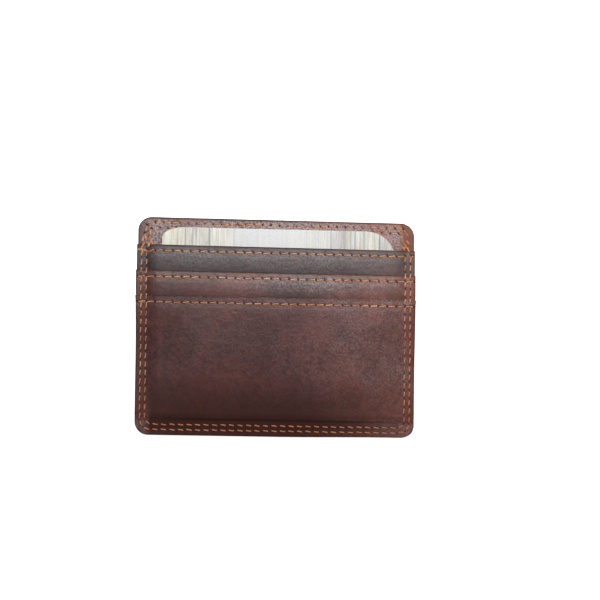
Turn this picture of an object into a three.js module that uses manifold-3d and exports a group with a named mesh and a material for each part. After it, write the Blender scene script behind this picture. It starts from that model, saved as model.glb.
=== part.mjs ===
// A slim leather card wallet: three stepped card pockets on the front, a cash pocket in the
// middle and a slip pocket on the back, sewn round the edge with two rows of thread.
// Millimetres. +X to the right, +Y towards the pocket mouths, +Z out of the front face.
// The origin is the middle of the flat back face, which the wallet rests on.
import * as THREE from "three";
import { mergeVertices } from "three/addons/utils/BufferGeometryUtils.js";
import Module from "manifold-3d";

const wasm = await Module();
wasm.setup();

// ---- Driving dimensions ----

const HALF_HEIGHT = 40;
const HALF_WIDTH = {
  base: 50.8, // the two full panels that line the cash pocket
  stripA: 51.1,
  stripB: 51.3,
  front: 51.5,
  back: 51.2,
  lining: 50.4,
};
const CORNER = 5;
const LEATHER = 0.8;
const CLOTH = 0.2;
const GAP = 0.05; // between two layers that lie on each other

const MOUTH = { a: 29.9, b: 20.65, c: 11.5, back: 29.9 }; // Y of each pocket's open edge
const HEM = { a: 2.1, b: 2.25, c: 2.3, back: 2.1 }; // from a mouth down to its row of thread
const STRIP_HEIGHT = 19.2; // a pocket's leather strip; cloth carries on below it

const SEAM = { outer: 1.7, inner: 3.5 }; // the edge rows, from the front panel's edge
const BAND = { outer: 2.0, inner: 3.9 }; // the rows along the top edge, from that edge
const BAND_SIDE = { outer: 48.4, inner: 46.6 }; // half the width of each top row's loop
const ROW_SPLIT = 32; // the top rows end just above this Y, and the edge rows just below

const CARD = {
  width: 85.6,
  height: 53.98,
  thickness: 0.76,
  centreX: 1.0,
  top: 36.57,
  clearance: 0.12, // above and below it in its pocket
  topLeft: [8.5, 4.0], // each corner's radius across and down
  topRight: [11, 9.8],
  bottom: [3.18, 3.18],
};

const THREAD = { width: 0.55, height: 0.5, proud: 0.03 };
const GROOVE = { width: 0.8, below: 0.1, above: 0.8 }; // the cut round a thread

// ---- Levels, from the back up ----

const BACK_POCKET_LOW = 0;
const BACK_PANEL_LOW = BACK_POCKET_LOW + LEATHER + 2 * GAP;
const BACK_LINING_LOW = BACK_PANEL_LOW + LEATHER + GAP;
const CASH_GAP = 0.3;
const FRONT_LINING_LOW = BACK_LINING_LOW + CLOTH + CASH_GAP;
const FRONT_PANEL_LOW = FRONT_LINING_LOW + CLOTH + GAP;
const FLOOR = FRONT_PANEL_LOW + LEATHER; // the face that the front pockets are sewn to

// Every pocket layer steps up from its sewn margin to a plateau with room for a card.
const RISE = CARD.thickness + 2 * CARD.clearance - GAP;
const SLOPE_X = [44.6, 47.2]; // the plateau's half width, and where the sewn margin starts
const CLOTH_STEP = CLOTH + GAP;
const LEATHER_STEP = LEATHER + GAP;

const STRIP_A_END = MOUTH.a - STRIP_HEIGHT;
const STRIP_B_END = MOUTH.b - STRIP_HEIGHT;
const SETTLE = 6.5; // the length over which a layer sinks past the end of a strip under it
const POCKET_A_FOOT = [-18, -21]; // each pocket's lower end: plateau's end, then margin's start
const POCKET_B_FOOT = [-26.5, -29.5];
const POCKET_C_FOOT = [-31.5, -34];
const LINING_HEM = 3; // cloth below a pocket's lower end
const LINING_LAP = 6; // cloth behind a strip, above the next mouth down

// ---- Materials ----

const finish = (color, roughness) =>
  new THREE.MeshStandardMaterial({ color, roughness, metalness: 0 });
const leather = finish(0x4a2a24, 0.55);
const cloth = finish(0x3a2a22, 0.9);
const thread = finish(0xb5743f, 0.7);
const board = finish(0xd8d8d0, 0.5);

// ---- Solids ----

// A closed three.js geometry as a manifold-3d solid, and back.
function toSolid(geometry) {
  const bare = geometry.index ? geometry.toNonIndexed() : geometry.clone();
  bare.deleteAttribute("normal");
  bare.deleteAttribute("uv");
  const merged = mergeVertices(bare, 1e-4);
  return new wasm.Manifold(
    new wasm.Mesh({
      numProp: 3,
      vertProperties: new Float32Array(merged.attributes.position.array),
      triVerts: new Uint32Array(merged.index.array),
    }),
  );
}

function toGeometry(solid) {
  const mesh = solid.getMesh();
  return new THREE.BufferGeometry()
    .setAttribute("position", new THREE.BufferAttribute(mesh.vertProperties, 3))
    .setIndex(new THREE.BufferAttribute(mesh.triVerts, 1));
}

// A rectangle from (-halfWidth, low) to (halfWidth, high) with rounded corners.
function outline(halfWidth, low, high, lowRadius, highRadius) {
  const quarter = Math.PI / 2;
  const corners = [
    [1, low, 1, lowRadius, -quarter],
    [1, high, -1, highRadius, 0],
    [-1, high, -1, highRadius, quarter],
    [-1, low, 1, lowRadius, 2 * quarter],
  ];
  const shape = new THREE.Shape();
  shape.moveTo(0, low);
  for (const [side, y, inward, radius, start] of corners) {
    const x = side * (halfWidth - radius);
    if (radius > 0) {
      shape.absarc(x, y + inward * radius, radius, start, start + quarter, false);
    } else {
      shape.lineTo(x, y);
    }
  }
  shape.closePath();
  return shape;
}

// The shape as a plate between two levels.
function plate(shape, low, thickness, curveSegments = 5) {
  return new THREE.ExtrudeGeometry(shape, {
    depth: thickness,
    bevelEnabled: false,
    curveSegments,
  }).translate(0, 0, low);
}

// The lines on which any layer may change its slope. All layers share them, so that the
// facets of one lie parallel to those of the next.
const COLUMNS = [-56, -SLOPE_X[1], -SLOPE_X[0], SLOPE_X[0], SLOPE_X[1], 56];
const ROWS = [
  45,
  STRIP_A_END,
  STRIP_A_END - SETTLE,
  STRIP_B_END,
  STRIP_B_END - SETTLE,
  ...POCKET_A_FOOT,
  ...POCKET_B_FOOT,
  ...POCKET_C_FOOT,
  -45,
];

// A sheet of one thickness whose underside is at lowZ(x, y) on each crossing of the lines.
function layer(lowZ, thickness) {
  const across = COLUMNS.length;
  const down = ROWS.length;
  const grid = new THREE.PlaneGeometry(1, 1, across - 1, down - 1);
  const count = across * down;
  const positions = [];
  for (const lift of [thickness, 0])
    for (const y of ROWS) for (const x of COLUMNS) positions.push(x, y, lowZ(x, y) + lift);
  const faces = [];
  const top = grid.index.array;
  for (let i = 0; i < top.length; i += 3) {
    faces.push(top[i], top[i + 1], top[i + 2]);
    faces.push(top[i] + count, top[i + 2] + count, top[i + 1] + count);
  }
  const border = [];
  for (let r = 0; r < down - 1; r++) border.push(r * across);
  for (let c = 0; c < across - 1; c++) border.push((down - 1) * across + c);
  for (let r = down - 1; r > 0; r--) border.push(r * across + across - 1);
  for (let c = across - 1; c > 0; c--) border.push(c);
  border.forEach((p, i) => {
    const q = border[(i + 1) % border.length];
    faces.push(p, p + count, q + count, p, q + count, q);
  });
  return new THREE.BufferGeometry()
    .setAttribute("position", new THREE.Float32BufferAttribute(positions, 3))
    .setIndex(faces);
}

// A solid along a line of points, whose section stays upright. The section is a list of
// [sideways, up] corners, anticlockwise as seen along the line.
function sweep(points, section) {
  const positions = [];
  const faces = [];
  const size = section.length;
  points.forEach((p, i) => {
    const before = points[Math.max(i - 1, 0)];
    const after = points[Math.min(i + 1, points.length - 1)];
    const arriving = p.clone().sub(before).setZ(0).normalize();
    const leaving = after.clone().sub(p).setZ(0).normalize();
    if (i === 0) arriving.copy(leaving);
    if (i === points.length - 1) leaving.copy(arriving);
    const ahead = arriving.clone().add(leaving).normalize();
    const side = new THREE.Vector3(-ahead.y, ahead.x, 0);
    side.divideScalar(Math.max(ahead.dot(arriving), 0.5));
    for (const [a, b] of section) positions.push(p.x - side.x * a, p.y - side.y * a, p.z + b);
    if (i === 0) return;
    for (let k = 0; k < size; k++) {
      const here = i * size + k;
      const next = i * size + ((k + 1) % size);
      faces.push(here - size, next, next - size, here - size, here, next);
    }
  });
  const last = (points.length - 1) * size;
  for (let k = 1; k < size - 1; k++) {
    faces.push(0, k, k + 1, last, last + k + 1, last + k);
  }
  return new THREE.BufferGeometry()
    .setAttribute("position", new THREE.Float32BufferAttribute(positions, 3))
    .setIndex(faces);
}

// ---- The shape of the pocket layers ----

// How far a layer has sunk at y, past the end of a strip that lies under it.
const sunk = (y, end, depth) =>
  depth * THREE.MathUtils.clamp((end - y) / SETTLE, 0, 1);

// From 1 on the plateau to 0 on the sewn margin. foot is the pocket's lower end.
function plateau(x, y, foot) {
  const beside = THREE.MathUtils.clamp(
    (SLOPE_X[1] - Math.abs(x)) / (SLOPE_X[1] - SLOPE_X[0]), 0, 1);
  const along = THREE.MathUtils.clamp((y - foot[1]) / (foot[0] - foot[1]), 0, 1);
  return Math.min(beside, along);
}

const ALL_THE_WAY = [-60, -61];

const liningALow = (x, y) => FLOOR + GAP + RISE * plateau(x, y, POCKET_A_FOOT);
const stripALow = (x, y) => FLOOR + GAP + CLOTH_STEP + RISE * plateau(x, y, ALL_THE_WAY);
const overStripA = (y) =>
  FLOOR + GAP + CLOTH_STEP + LEATHER_STEP - sunk(y, STRIP_A_END, LEATHER_STEP);
const liningBLow = (x, y) => overStripA(y) + RISE * plateau(x, y, POCKET_B_FOOT);
const stripBLow = (x, y) => overStripA(y) + CLOTH_STEP + RISE * plateau(x, y, ALL_THE_WAY);
function panelCLow(x, y) {
  const overStripB =
    overStripA(y) + CLOTH_STEP + LEATHER_STEP - sunk(y, STRIP_B_END, LEATHER_STEP);
  const pastLinings = THREE.MathUtils.clamp(
    (POCKET_C_FOOT[0] - y) / (POCKET_C_FOOT[0] - POCKET_C_FOOT[1]), 0, 1);
  return overStripB - 2 * CLOTH_STEP * pastLinings + RISE * plateau(x, y, POCKET_C_FOOT);
}

// The height of the wallet's front surface.
function frontSurface(x, y) {
  if (y > MOUTH.a) return FLOOR;
  if (y > MOUTH.b) return stripALow(x, y) + LEATHER;
  if (y > MOUTH.c) return stripBLow(x, y) + LEATHER;
  return panelCLow(x, y) + LEATHER;
}

const backSurface = (x, y) => (y > MOUTH.back ? BACK_PANEL_LOW : BACK_POCKET_LOW);

// ---- Thread lines ----

const point = (x, y, z = 0) => new THREE.Vector3(x, y, z);

// The line of an edge row: down one side, round the bottom and up the other side.
function seamLine(inset) {
  const half = HALF_WIDTH.front - inset;
  const low = -HALF_HEIGHT + inset;
  const radius = CORNER - inset * 0.8;
  const steps = [
    ROW_SPLIT - 0.5,
    ...[MOUTH.a, MOUTH.b, MOUTH.c].flatMap((y) => [y + 1.3, y + 0.3]),
    STRIP_A_END,
    STRIP_A_END - SETTLE,
    STRIP_B_END,
    STRIP_B_END - SETTLE,
    ...POCKET_C_FOOT,
  ];
  const corner = new THREE.Path()
    .absarc(-half + radius, low + radius, radius, Math.PI, 1.5 * Math.PI, false)
    .getPoints(4);
  const left = [...steps.map((y) => point(-half, y)), ...corner.map((p) => point(p.x, p.y))];
  return [...left, ...left.map((p) => point(-p.x, p.y)).reverse()];
}

// The line of a top row: up one side, along under the top edge and down the other side.
function bandLine(inset, half) {
  const high = HALF_HEIGHT - inset;
  const radius = CORNER - inset * 0.8;
  const corner = new THREE.Path()
    .absarc(-half + radius, high - radius, radius, Math.PI, 0.5 * Math.PI, true)
    .getPoints(4);
  const left = [point(-half, ROW_SPLIT + 0.5), ...corner.map((p) => point(p.x, p.y))];
  return [...left, ...left.map((p) => point(-p.x, p.y)).reverse()];
}

// The line of the row under a pocket's mouth, which ends just inside the edge rows.
function mouthLine(y) {
  const end = HALF_WIDTH.front - SEAM.inner - THREAD.width - 0.3;
  return [-end, -SLOPE_X[0], SLOPE_X[0], end].map((x) => point(x, y));
}

// Lays a line on the front or back surface, with the thread just proud of it or flush.
// A point in the step before a mouth already takes the level of the pocket above it.
function onFront(line) {
  return line.map((p) => {
    const step = [MOUTH.a, MOUTH.b, MOUTH.c].some((y) => p.y > y && p.y < y + 0.5);
    const level = frontSurface(p.x, step ? p.y - 0.5 : p.y);
    return point(p.x, p.y, level + THREAD.proud - THREAD.height / 2);
  });
}

function onBack(line) {
  return line.map((p) => {
    const step = p.y > MOUTH.back && p.y < MOUTH.back + 0.5;
    const level = backSurface(p.x, step ? p.y - 0.5 : p.y);
    return point(p.x, p.y, level + GAP / 2 + THREAD.height / 2);
  });
}

// A thread's own section, and the section of the groove that it lies in.
function threadSection() {
  const w = THREAD.width / 2;
  const h = THREAD.height / 2;
  return [[-w, 0], [-w / 2, -h], [w / 2, -h], [w, 0], [w / 2, h], [-w / 2, h]];
}

function grooveSection(outward) {
  const w = GROOVE.width / 2;
  const shut = THREAD.height / 2 + GROOVE.below;
  const open = GROOVE.above;
  const [low, high] = outward > 0 ? [-shut, open] : [-open, shut];
  return [[-w, low], [w, low], [w, high], [-w, high]];
}

const frontLines = {
  seam_outer_needle_thread: onFront(seamLine(SEAM.outer)),
  seam_inner_needle_thread: onFront(seamLine(SEAM.inner)),
  front_band_outer_thread: onFront(bandLine(BAND.outer, BAND_SIDE.outer)),
  front_band_inner_thread: onFront(bandLine(BAND.inner, BAND_SIDE.inner)),
  pocket_a_mouth_thread: onFront(mouthLine(MOUTH.a - HEM.a)),
  pocket_b_mouth_thread: onFront(mouthLine(MOUTH.b - HEM.b)),
  pocket_c_mouth_thread: onFront(mouthLine(MOUTH.c - HEM.c)),
};

const backLines = {
  seam_outer_bobbin_thread: onBack(seamLine(SEAM.outer)),
  seam_inner_bobbin_thread: onBack(seamLine(SEAM.inner)),
  back_band_outer_thread: onBack(bandLine(BAND.outer, BAND_SIDE.outer)),
  back_band_inner_thread: onBack(bandLine(BAND.inner, BAND_SIDE.inner)),
  back_pocket_mouth_thread: onBack(mouthLine(MOUTH.back - HEM.back)),
};

const grooves = (lines, outward) =>
  Object.values(lines).map((line) => toSolid(sweep(line, grooveSection(outward))));
const frontGrooves = grooves(frontLines, 1);
const backGrooves = grooves(backLines, -1);

// ---- The pieces ----

const wallet = new THREE.Group();

function add(name, geometry, material) {
  const mesh = new THREE.Mesh(geometry, material);
  mesh.name = name;
  wallet.add(mesh);
}

const cut = (solid, cuts) => cuts.reduce((left, c) => left.subtract(c), solid);

// A flat panel between two levels, grooved where thread lies in it.
function addFlat(name, shape, low, thickness, material, cuts = []) {
  add(name, toGeometry(cut(toSolid(plate(shape, low, thickness)), cuts)), material);
}

// A shaped pocket layer, trimmed to its outline and grooved where thread lies in it.
function addShaped(name, shape, lowZ, thickness, material, cuts = []) {
  const blank = toSolid(layer(lowZ, thickness));
  const trimmed = blank.intersect(toSolid(plate(shape, -5, 30)));
  add(name, toGeometry(cut(trimmed, cuts)), material);
}

function addPanels() {
  const full = outline(HALF_WIDTH.base, -HALF_HEIGHT, HALF_HEIGHT, CORNER, CORNER);
  const inner = outline(
    HALF_WIDTH.lining, -HALF_HEIGHT + 0.4, HALF_HEIGHT - 0.8, CORNER - 0.5, CORNER - 0.5);
  const slip = outline(HALF_WIDTH.back, -HALF_HEIGHT, MOUTH.back, CORNER, 0);
  const front = outline(HALF_WIDTH.front, -HALF_HEIGHT, MOUTH.c, CORNER, 0);
  const stripA = outline(HALF_WIDTH.stripA, STRIP_A_END, MOUTH.a, 0, 0);
  const stripB = outline(HALF_WIDTH.stripB, STRIP_B_END, MOUTH.b, 0, 0);

  addFlat("back_pocket_panel", slip, BACK_POCKET_LOW, LEATHER, leather, backGrooves);
  addFlat("back_panel", full, BACK_PANEL_LOW, LEATHER, leather, backGrooves);
  addFlat("back_lining", inner, BACK_LINING_LOW, CLOTH, cloth);
  addFlat("front_lining", inner, FRONT_LINING_LOW, CLOTH, cloth);
  addFlat("front_panel", full, FRONT_PANEL_LOW, LEATHER, leather, frontGrooves);
  addShaped("pocket_a_strip", stripA, stripALow, LEATHER, leather, frontGrooves);
  addShaped("pocket_b_strip", stripB, stripBLow, LEATHER, leather, frontGrooves);
  addShaped("pocket_c_panel", front, panelCLow, LEATHER, leather, frontGrooves);
}

function addPocketLinings() {
  const hw = HALF_WIDTH.lining;
  const clothA = outline(hw, POCKET_A_FOOT[1] - LINING_HEM, MOUTH.b + LINING_LAP / 2, 0, 0);
  const clothB = outline(hw, POCKET_B_FOOT[1] - LINING_HEM / 2, MOUTH.c + LINING_LAP / 2, 0, 0);
  addShaped("pocket_a_lining", clothA, liningALow, CLOTH, cloth, frontGrooves);
  addShaped("pocket_b_lining", clothB, liningBLow, CLOTH, cloth, frontGrooves);
}

// The hidden rows that close the feet of pockets A and B, on top of their linings.
function addFootThreads() {
  const end = SLOPE_X[0] - 0.6;
  const feet = {
    pocket_a_foot_thread: [POCKET_A_FOOT[1] - LINING_HEM / 2, liningALow],
    pocket_b_foot_thread: [POCKET_B_FOOT[1] - LINING_HEM / 4, liningBLow],
  };
  for (const [name, [y, lowZ]] of Object.entries(feet)) {
    const z = lowZ(0, y) + CLOTH + GAP + THREAD.height / 2;
    add(name, sweep([point(-end, y, z), point(end, y, z)], threadSection()), thread);
  }
}

function addThreads() {
  for (const [name, line] of Object.entries({ ...frontLines, ...backLines })) {
    add(name, sweep(line, threadSection()), thread);
  }
}

// The printed card in pocket A. Its two top corners are cut to different curves.
function addCard() {
  const left = CARD.centreX - CARD.width / 2;
  const right = CARD.centreX + CARD.width / 2;
  const low = CARD.top - CARD.height;
  const quarter = Math.PI / 2;
  const corners = [
    [right, low, CARD.bottom, -1, 1, -quarter],
    [right, CARD.top, CARD.topRight, -1, -1, 0],
    [left, CARD.top, CARD.topLeft, 1, -1, quarter],
    [left, low, CARD.bottom, 1, 1, 2 * quarter],
  ];
  const shape = new THREE.Shape();
  for (const [x, y, [rx, ry], inX, inY, start] of corners) {
    shape.absellipse(x + inX * rx, y + inY * ry, rx, ry, start, start + quarter, false, 0);
  }
  shape.closePath();
  add("insert_card", plate(shape, FLOOR + CARD.clearance, CARD.thickness, 7), board);
}

addPanels();
addPocketLinings();
addFootThreads();
addThreads();
addCard();

export default wallet;
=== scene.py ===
"""The looks of a slim leather card wallet: oiled leather panels with burnished edges, tan
stitches, lining cloth, and a card with a printed plank pattern.

The wallet lies on its back, with its pocket mouths towards +Y and its front up. Shapes are
worked out in millimetres and handed to Blender in metres."""

import math

import bpy
import numpy as np
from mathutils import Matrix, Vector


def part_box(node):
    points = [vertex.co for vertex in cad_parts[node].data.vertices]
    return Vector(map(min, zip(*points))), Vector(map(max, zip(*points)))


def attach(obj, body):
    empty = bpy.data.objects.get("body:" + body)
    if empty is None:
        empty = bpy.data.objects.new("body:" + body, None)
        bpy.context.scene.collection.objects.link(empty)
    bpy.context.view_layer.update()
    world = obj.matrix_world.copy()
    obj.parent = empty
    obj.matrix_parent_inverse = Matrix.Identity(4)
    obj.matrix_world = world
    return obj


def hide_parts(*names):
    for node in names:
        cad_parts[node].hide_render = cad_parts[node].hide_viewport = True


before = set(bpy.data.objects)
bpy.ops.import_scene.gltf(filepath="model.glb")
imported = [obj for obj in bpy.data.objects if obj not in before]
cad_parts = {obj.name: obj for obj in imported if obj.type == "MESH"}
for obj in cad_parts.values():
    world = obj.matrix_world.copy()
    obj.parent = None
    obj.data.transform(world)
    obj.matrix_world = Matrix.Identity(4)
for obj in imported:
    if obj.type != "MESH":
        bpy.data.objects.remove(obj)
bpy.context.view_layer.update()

MM = 0.001
rng = np.random.default_rng(7)

# ---- Sizes, in millimetres ----

# Panel C is the large one in front. The mouths of strips A and B show above it, and the front
# panel is the full one behind them all.


def node_box(node):
    """The lowest and highest corners of a CAD node."""
    return [np.array(corner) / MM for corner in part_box(node)]


FRONT_LOW, FRONT_HIGH = node_box("front_panel")
BACK_LOW, BACK_HIGH = node_box("back_panel")
POCKET_LOW, POCKET_HIGH = node_box("back_pocket_panel")
STRIP_A_LOW, STRIP_A_HIGH = node_box("pocket_a_strip")
STRIP_B_LOW, STRIP_B_HIGH = node_box("pocket_b_strip")
PANEL_C_LOW, PANEL_C_HIGH = node_box("pocket_c_panel")
LINING_A_LOW, LINING_A_HIGH = node_box("pocket_a_lining")
LINING_B_LOW, LINING_B_HIGH = node_box("pocket_b_lining")
CARD_LOW, CARD_HIGH = node_box("insert_card")

BOTTOM = PANEL_C_LOW[1]
TOP = FRONT_HIGH[1]
HALF = PANEL_C_HIGH[0]
FLOOR = FRONT_HIGH[2]
LEATHER = FRONT_HIGH[2] - FRONT_LOW[2]
CLOTH = 0.2
GAP = 0.05
CLOTH_STEP = CLOTH + GAP
LEATHER_STEP = LEATHER + GAP
CORNER = 5.0

MOUTH_A = STRIP_A_HIGH[1]
MOUTH_B = STRIP_B_HIGH[1]
MOUTH_C = PANEL_C_HIGH[1]
MOUTH_BACK = POCKET_HIGH[1]
END_A = STRIP_A_LOW[1]
END_B = STRIP_B_LOW[1]

RISE = 0.95  # how far the pocket layers stand up over the card
SLOPE = (48.6, 42.6)  # the half widths between which they rise
BROAD = (46.5, 26.0)  # the half widths between which panel C swells further
DOME_TOP = 8.0  # where panel C starts to fall away towards its foot
SETTLE = 16.0  # the length over which a layer sinks past the end of the strip under it
FOOT_A = (-18.0, -21.0)  # each pocket's lower end: top and bottom of its slope
FOOT_B = (-17.6, -29.5)
FOOT_C = (-17.6, -35.0)
CLOTH_END = -31.5
PINCH = 0.14  # how far each side of the cash pocket is drawn in at the seam
FREE_SIDE = (48.2, 45.0)  # the half widths between which its walls come free of the seam
FREE_FOOT = (-36.6, -32.8)  # the Y between which they do
RIPPLE = 0.05
PRESSED = (-33.4, 0.09, 0.35)  # the pressed line above the foot: its Y, height and width
HOLLOW = (-34.3, 0.10, 0.6)  # the hollow below it
HELD_DOWN = 0.10  # at panel C's mouth

EDGE_RADIUS = 0.28  # of the leather's burnished edges
CLOTH_RADIUS = 0.09  # of the lining's edges
SQUARE = 0.01  # the corner radius of a strip that is cut square
THREAD_RADIUS = 0.23

# Hand-made unevenness. The slope of a level line at the foot, and what the middle and top add.
LEAN = (-0.005, -0.004, -0.006)
SAG = 0.33  # how much lower the upper part sits
WAVER = 0.06  # of both sides, in and out
NARROWER = 0.2  # how far each side is in, below the strips
LEFT_HOLLOW = 0.22  # how far the left side is drawn in at its middle
RAISED_CORNER = 0.4  # how much higher the lower right corner sits


# ---- Small helpers ----


def smooth(start, end, value):
    """0 before start and 1 after end, with an even curve between; end may be below start."""
    t = np.clip((value - start) / (end - start), 0, 1)
    return t * t * (3 - 2 * t)


def bell(distance, width):
    return np.exp(-((distance / width) ** 2))


def waves(x, y, seed, length):
    """Soft irregular waves between about -1 and 1, of roughly the given length."""
    draw = np.random.default_rng(seed)
    total = np.zeros(np.broadcast(x, y).shape)
    for _ in range(6):
        angle = draw.uniform(0, math.pi)
        reach = length * draw.uniform(0.7, 1.5)
        turn = 2 * math.pi / reach
        along = x * math.cos(angle) + y * math.sin(angle)
        total = total + np.sin(along * turn + draw.uniform(0, 2 * math.pi))
    return total / 3.5


def warp(points):
    """Make points uneven, alike for every sewn piece: the top leans down to the right."""
    x, y = points[:, 0].copy(), points[:, 1].copy()
    lean = LEAN[0] + LEAN[1] * smooth(BOTTOM, 5, y) + LEAN[2] * smooth(10, 32, y)
    low_right = smooth(-37.5, BOTTOM, y) * smooth(0, 40, x)
    left = smooth(-30, -50, x)
    points[:, 0] += (WAVER * np.sin(y / 9.0 + 0.7) - NARROWER * smooth(14, 8, y)) * x / HALF
    points[:, 0] += LEFT_HOLLOW * bell(y, 14) * left
    points[:, 1] += lean * x - SAG * smooth(-5, 9, y) + RAISED_CORNER * low_right
    return points


# ---- Outlines ----


class Outline:
    """A rectangle, even about X = 0, with rounded corners."""

    def __init__(self, half, low, high, low_radius, high_radius):
        self.half, self.low, self.high = half, low, high
        self.low_radius, self.high_radius = low_radius, high_radius

    def extent(self, y):
        """Half the width at y."""
        from_low = np.clip(self.low_radius - (y - self.low), 0, self.low_radius)
        from_high = np.clip(self.high_radius - (self.high - y), 0, self.high_radius)
        low_cut = self.low_radius - np.sqrt(self.low_radius**2 - from_low**2)
        high_cut = self.high_radius - np.sqrt(self.high_radius**2 - from_high**2)
        return self.half - low_cut - high_cut

    def inside(self, x, y):
        """The distance from (x, y) to the edge."""
        middle, tall = (self.low + self.high) / 2, (self.high - self.low) / 2
        radius = np.where(y < middle, self.low_radius, self.high_radius)
        across = np.abs(x) - (self.half - radius)
        along = np.abs(y - middle) - (tall - radius)
        beyond = np.hypot(np.maximum(across, 0), np.maximum(along, 0))
        return radius - beyond - np.minimum(np.maximum(across, along), 0)


# ---- Rows of stitches ----


class Row:
    """A row of stitches along a line, with the slits that they go through. pitch is about the
    length from slit to slit, shown the length of a stitch, and spare its extra stitches."""

    def __init__(self, line, pitch, shown, slant, slit, dark=1.0, spare=()):
        self.line = np.array(line, float)
        self.shown, self.slant, self.slit = shown, math.radians(slant), math.radians(slit)
        self.dark, self.spare = dark, list(spare)
        steps = np.linalg.norm(np.diff(self.line, axis=0), axis=1)
        self.along = np.concatenate([[0], np.cumsum(steps)])
        self.count = max(1, round(self.along[-1] / pitch))
        self.pitch = self.along[-1] / self.count

    def at(self, s):
        return np.array([np.interp(s, self.along, self.line[:, k]) for k in (0, 1)])

    def stitches(self):
        """The two ends of each stitch."""
        found = []
        hidden = (self.pitch - self.shown) / 2
        for i in range(self.count):
            start = self.at(i * self.pitch + hidden)
            end = self.at((i + 1) * self.pitch - hidden)
            ahead = (end - start) / max(np.linalg.norm(end - start), 1e-6)
            side = np.array([-ahead[1], ahead[0]])
            shift = side * math.tan(self.slant) * self.shown / 2
            found.append((start - shift, end + shift))
        return found

    def holes(self):
        """The middle and direction of each slit between two stitches."""
        found = []
        for i in range(self.count + 1):
            s = i * self.pitch
            before, after = self.at(s - 0.2), self.at(s + 0.2)
            angle = math.atan2(after[1] - before[1], after[0] - before[0]) + self.slit
            middle = self.at(s)
            found.append((middle[0], middle[1], math.cos(angle), math.sin(angle)))
        return found


ARC_POINTS = 7


def arc(x, y, radius, start, end):
    turn = np.radians(np.linspace(start, end, ARC_POINTS))
    return [(x + radius * math.cos(t), y + radius * math.sin(t)) for t in turn]


def row_corner(inset):
    """The radius of a row's corner, a little larger than if it followed the edge."""
    return CORNER - inset * 0.8


def seam_line(inset, top):
    """Down the left side, along the bottom and up the right side, a little wider below."""
    half, low = HALF - inset, BOTTOM + inset
    radius = row_corner(inset)
    wide = half + SEAM_SPREAD
    left = [(-half, top), (-half, SPREAD_FROM[0]), (-wide, SPREAD_FROM[1])]
    left += arc(-wide + radius, low + radius, radius, 180, 270)
    return left + [(-x, y) for x, y in reversed(left)]


def band_line(inset, half, low):
    """Up the left side and round the corner, then along the top."""
    high = TOP - inset
    radius = row_corner(inset)
    corner = arc(-half + radius, high - radius, radius, 180, 90)
    return [(-half, low)] + corner + [(half - BAND_SHORT, high)]


def back_band_line(inset, half, low):
    """Up the left side, along the top and down the right side."""
    high = TOP - inset
    radius = row_corner(inset)
    left = [(-half, low)] + arc(-half + radius, high - radius, radius, 180, 90)
    return left + [(-x, y) for x, y in reversed(left)]


MOUTH_END = HALF - 0.7


def mouth_line(y, left=-MOUTH_END):
    return [(left, y), (MOUTH_END, y)]


def strands(ends):
    """Single stitches from (x, y, x, y) of their two ends."""
    return [(np.array(end[:2]), np.array(end[2:])) for end in ends]


SEAM = {"outer": 2.1, "inner": 4.0}  # from the edge to each edge row
SEAM_TOP = 28.2
BACK_SEAM_TOP = 36.5
SEAM_SPREAD = 0.3  # how much nearer the sides the edge rows are low down
SPREAD_FROM = (14, -5)  # the Y between which they spread
# Each row along the top: its inset from the top edge, its half width, and its lower left end.
BAND = {"outer": (1.95, 48.3, 34.2), "inner": (3.85, 46.6, 33.0)}
BAND_SHORT = 1.6  # a front top row stops this much before its half width at the right
BACK_BAND_LOW = 33.4

# How a row is sewn: its slant and the turn of its slits are in degrees, and dark is how much
# shade is painted in its slits.
EDGE_SEWING = {"pitch": 3.12, "shown": 2.5, "slant": -8, "slit": 20, "dark": 0.6}
BAND_SEWING = {"pitch": 3.0, "shown": 2.85, "slant": 6, "slit": -46}
MOUTH_SEWING = {"pitch": 3.3, "shown": 3.1, "slant": 7, "slit": -44}
BACK_EDGE_SEWING = {"pitch": 3.08, "shown": 2.3, "slant": 0, "slit": 0}
BACK_BAND_SEWING = {"pitch": 3.0, "shown": 2.3, "slant": 0, "slit": 0}
BACK_MOUTH_SEWING = {"pitch": 3.3, "shown": 2.4, "slant": 0, "slit": 0}

# The rows are locked at their upper ends by stitches that cross each other.
TACKS = {
    "outer": [
        (-48.4, 33.3, -47.6, 31.2),
        (-48.7, 32.6, -49.1, 30.9),
        (-48.4, 30.8, -49.4, 28.4),
        (-49.4, 28.6, -49.1, 26.6),
        (46.8, 37.5, 47.7, 36.4),
        (47.8, 36.3, 48.6, 35.0),
        (48.0, 33.8, 48.9, 32.3),
        (48.1, 31.3, 49.0, 29.5),
    ],
    "inner": [
        (-46.6, 34.9, -45.8, 33.0),
        (-46.6, 33.0, -46.1, 31.2),
        (-46.2, 31.6, -45.4, 30.4),
        (-46.3, 30.8, -46.7, 28.8),
        (-46.6, 30.6, -47.1, 28.6),
        (45.7, 36.8, 46.3, 35.6),
        (46.1, 34.9, 46.7, 33.1),
        (46.4, 34.2, 47.1, 32.6),
        (47.1, 32.6, 47.9, 31.7),
        (47.9, 31.7, 47.1, 30.6),
        (46.4, 31.7, 47.2, 29.9),
    ],
}
# The top strip's row starts with single stitches, given with Y from the row.
ROW_A_START = -44.4
ROW_A_FIRST = [
    (-50.9, 0.2, -49.3, 0.3),
    (-48.9, 0.3, -46.8, -0.65),
    (-46.8, -0.65, -44.7, 0.25),
]
ROW_A = MOUTH_A - 2.2
ROW_B = MOUTH_B - 2.35
ROW_C = MOUTH_C - 2.4
ROW_BACK = MOUTH_BACK - 2.1

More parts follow.
